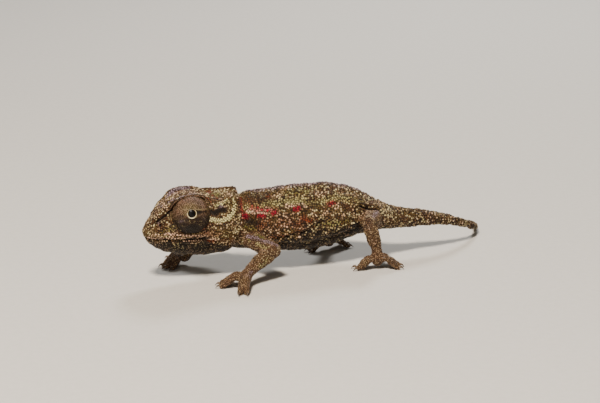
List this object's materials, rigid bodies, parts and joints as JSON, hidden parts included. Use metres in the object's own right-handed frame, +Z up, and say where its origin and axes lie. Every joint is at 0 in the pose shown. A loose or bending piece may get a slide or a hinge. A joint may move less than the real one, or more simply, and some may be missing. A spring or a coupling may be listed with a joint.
{
  "type": "pygmy chameleon",
  "caption": "Life-size pygmy chameleon standing on level ground, with domed eye turrets, a low casque, gripping feet and a tail that trails to one side.",
  "frame": {"origin": "on the ground under the middle of the model's box", "axes": "-X is forward, from the middle to the snout; -Y is the animal's left; +Z is up"},
  "size_m": [0.0608, 0.025, 0.0145],
  "materials": {
    "skin": "dry granular skin, tan and dark brown with red and pale marks",
    "lids": "fine-grained fused eyelids, paler above and dark below",
    "eye": "wet dark eye with a thin pale ring"
  },
  "bodies": {
    "root": {"eye_left": "eye", "eye_right": "eye", "foot_left": "skin", "foot_right": "skin", "forearm_left": "skin", "forearm_right": "skin", "hand_left": "skin", "hand_right": "skin", "head": "skin", "lids_left": "lids", "lids_right": "lids", "lower_jaw": "skin", "neck": "skin", "shin_left": "skin", "shin_right": "skin", "tail_base": "skin", "tail_middle": "skin", "tail_tip": "skin", "thigh_left": "skin", "thigh_right": "skin", "torso": "skin", "upper_arm_left": "skin", "upper_arm_right": "skin"}
  },
  "joints": []
}
